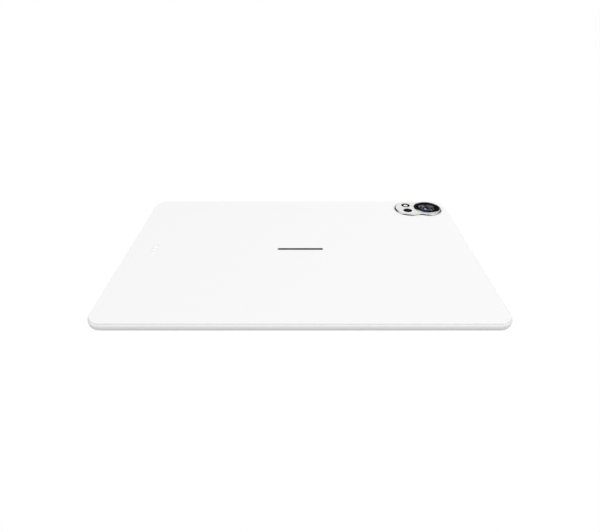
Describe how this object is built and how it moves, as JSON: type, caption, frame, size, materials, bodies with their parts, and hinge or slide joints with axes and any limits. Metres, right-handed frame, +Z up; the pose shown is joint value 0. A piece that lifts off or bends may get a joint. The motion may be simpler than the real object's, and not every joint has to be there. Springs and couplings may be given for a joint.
{
  "type": "tablet computer",
  "caption": "Thin white slate tablet lying on its screen, with a raised double-lobed camera island in one corner, side keys and a charging port.",
  "frame": {"origin": "middle of the screen glass's outer face, which the tablet rests on", "axes": "+X along the long side; +Y across it, towards the long edge with the volume key and the camera island; +Z up through the back cover"},
  "size_m": [0.2714, 0.1828, 0.0081],
  "materials": {
    "frame_silver": "satin",
    "cover_white": "matte",
    "island_silver": "satin",
    "ring_polished": "polished",
    "screen_glass": "gloss",
    "camera_glass": "gloss",
    "lens_glass": "gloss",
    "camera_black": "satin",
    "flash_cream": "gloss",
    "panel_black": "satin",
    "moulded_black": "matte",
    "stamped_steel": "satin",
    "board_green": "satin",
    "ribbon_amber": "satin",
    "cell_wrap": "satin",
    "contact_metal": "satin",
    "adhesive_black": "matte",
    "graphite": "matte"
  },
  "bodies": {
    "root": {"mid_frame": "frame_silver", "back_cover": "cover_white", "front_glass": "screen_glass", "display_panel": "panel_black", "display_adhesive": "adhesive_black", "back_cover_adhesive": "adhesive_black", "camera_island": "island_silver", "main_lens_ring": "ring_polished", "main_lens_glass": "camera_glass", "main_lens_baffle": "camera_black", "second_lens_glass": "camera_glass", "flash_window": "flash_cream", "flash_led": "flash_cream", "main_camera_board": "board_green", "main_camera_housing": "camera_black", "second_camera_housing": "camera_black", "second_camera_barrel": "camera_black", "camera_retainer": "stamped_steel", "camera_screw_1": "stamped_steel", "camera_screw_2": "stamped_steel", "front_camera_housing": "camera_black", "front_camera_barrel": "lens_glass", "microphone": "stamped_steel", "battery_cell_1": "cell_wrap", "battery_cell_2": "cell_wrap", "battery_board": "board_green", "main_board": "board_green", "processor_shield": "stamped_steel", "radio_shield": "stamped_steel", "heat_spreader": "graphite", "board_screw_1": "stamped_steel", "board_screw_2": "stamped_steel", "board_screw_3": "stamped_steel", "board_screw_4": "stamped_steel", "usb_shell": "stamped_steel", "usb_tongue": "moulded_black", "usb_board": "board_green", "usb_bracket": "stamped_steel", "main_ribbon": "ribbon_amber", "display_ribbon": "ribbon_amber", "speaker_1": "moulded_black", "speaker_2": "moulded_black", "speaker_3": "moulded_black", "speaker_4": "moulded_black", "speaker_mesh_1": "moulded_black", "speaker_mesh_2": "moulded_black", "speaker_mesh_3": "moulded_black", "speaker_mesh_4": "moulded_black", "power_switch": "stamped_steel", "volume_switches": "stamped_steel", "keyboard_contact_1": "contact_metal", "keyboard_contact_2": "contact_metal", "keyboard_contact_3": "contact_metal", "contact_holder": "moulded_black", "pencil_coil": "graphite"},
    "power_key": {"power_button": "frame_silver"},
    "volume_key": {"volume_rocker": "frame_silver"},
    "focus_carrier": {"main_camera_barrel": "camera_black", "main_camera_lens": "lens_glass"}
  },
  "joints": [
    {"name": "power_press", "type": "slide", "parent": "root", "child": "power_key", "axis": [-1, 0, 0], "range_m": [0, 0.00025], "stiffness_N_per_m": 2500, "springref_m": -0.0001},
    {"name": "volume_rock", "type": "hinge", "parent": "root", "child": "volume_key", "pos_m": [0.074, 0.08736, 0.00295], "axis": [0, 0, 1], "range_deg": [-1.2, 1.2], "stiffness_Nm_per_rad": 0.5},
    {"name": "main_camera_focus", "type": "slide", "parent": "root", "child": "focus_carrier", "axis": [0, 0, 1], "range_m": [0, 0.00025], "stiffness_N_per_m": 100, "springref_m": -0.0002}
  ]
}
